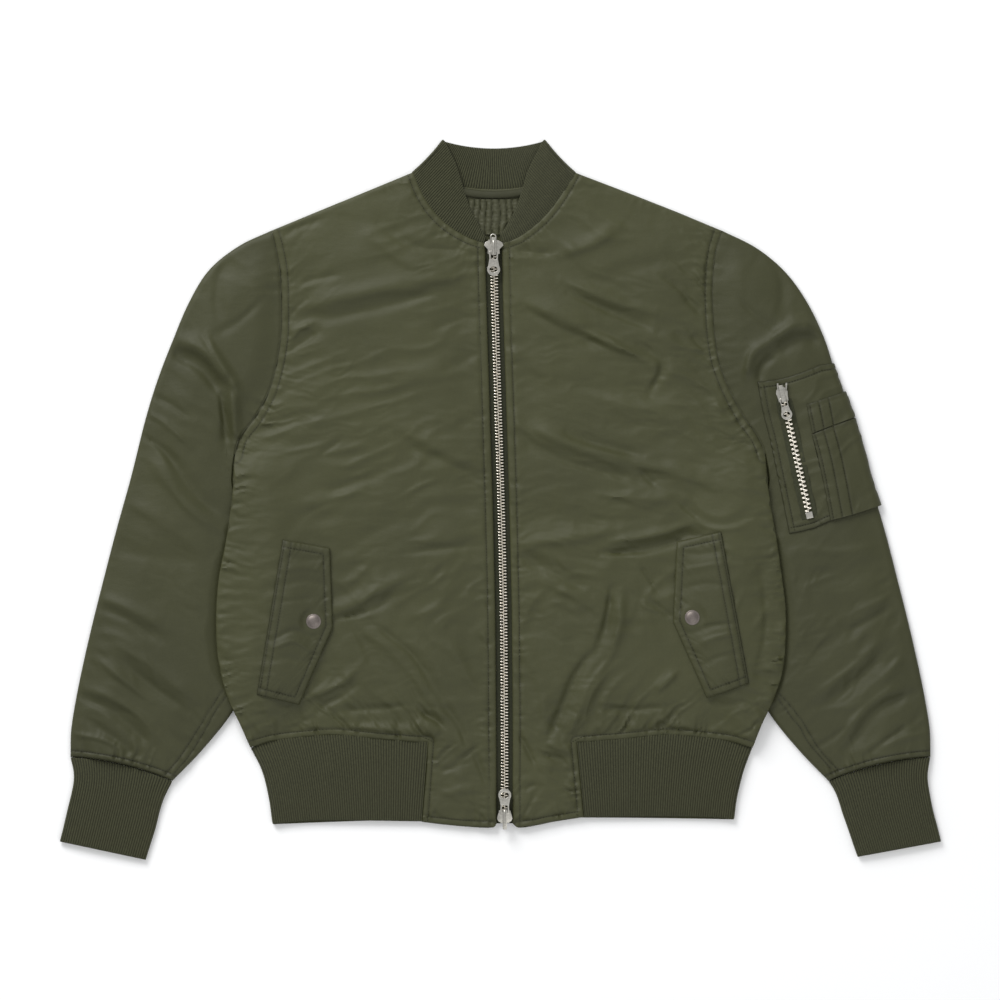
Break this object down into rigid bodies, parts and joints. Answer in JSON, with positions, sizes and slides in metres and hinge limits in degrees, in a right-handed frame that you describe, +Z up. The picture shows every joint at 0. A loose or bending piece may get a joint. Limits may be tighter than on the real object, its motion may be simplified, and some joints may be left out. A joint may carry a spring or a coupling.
{
  "type": "bomber jacket",
  "caption": "Olive nylon bomber jacket, zipped and laid flat on its back, with rib collar, cuffs and hem, flap pockets and a zipped sleeve pocket.",
  "frame": {"origin": "on the surface that the jacket lies on, below the middle of its outline", "axes": "+X to the wearer's left sleeve, +Y to the collar, +Z up from the surface to the fronts"},
  "size_m": [0.916, 0.748, 0.0188],
  "materials": {
    "shell_nylon": "olive nylon twill with a soft sheen",
    "rib_knit": "matt olive rib knit",
    "lining_nylon": "olive nylon, quilted",
    "zip_tape": "woven zip tape, dark olive",
    "zip_metal": "nickel plated, lightly worn",
    "snap_metal": "dark gunmetal"
  },
  "bodies": {
    "jacket": {"back_panel": "shell_nylon", "front_right": "shell_nylon", "front_left": "shell_nylon", "sleeve_right": "shell_nylon", "sleeve_left": "shell_nylon", "pocket_flap_right": "shell_nylon", "pocket_flap_left": "shell_nylon", "arm_pocket": "shell_nylon", "pen_pocket_upper": "shell_nylon", "pen_pocket_lower": "shell_nylon", "cuff_right": "rib_knit", "cuff_left": "rib_knit", "hem_rib": "rib_knit", "collar_rib": "rib_knit", "neck_lining": "lining_nylon", "neck_tape": "lining_nylon", "zip_tape_right": "zip_tape", "zip_tape_left": "zip_tape", "arm_zip_tape": "zip_tape", "zip_chain": "zip_metal", "zip_top_slider": "zip_metal", "zip_bottom_slider": "zip_metal", "arm_zip_chain": "zip_metal", "arm_zip_slider": "zip_metal", "arm_zip_stop": "zip_metal", "snap_right": "snap_metal", "snap_left": "snap_metal"},
    "top_pull": {"zip_top_pull": "zip_metal"},
    "bottom_pull": {"zip_bottom_pull": "zip_metal"},
    "arm_pull": {"arm_zip_pull": "zip_metal"}
  },
  "joints": [
    {"name": "top_pull_hinge", "type": "hinge", "parent": "jacket", "child": "top_pull", "pos_m": [-0.00712, 0.258, 0.01205], "axis": [-1, 0, 0], "range_deg": [0, 145]},
    {"name": "bottom_pull_hinge", "type": "hinge", "parent": "jacket", "child": "bottom_pull", "pos_m": [0.00443, -0.325, 0.01205], "axis": [1, 0, 0], "range_deg": [0, 145]},
    {"name": "arm_pull_hinge", "type": "hinge", "parent": "jacket", "child": "arm_pull", "pos_m": [0.2935, 0.105, 0.01598], "axis": [-0.9761, -0.2173, 0], "range_deg": [0, 145]}
  ]
}
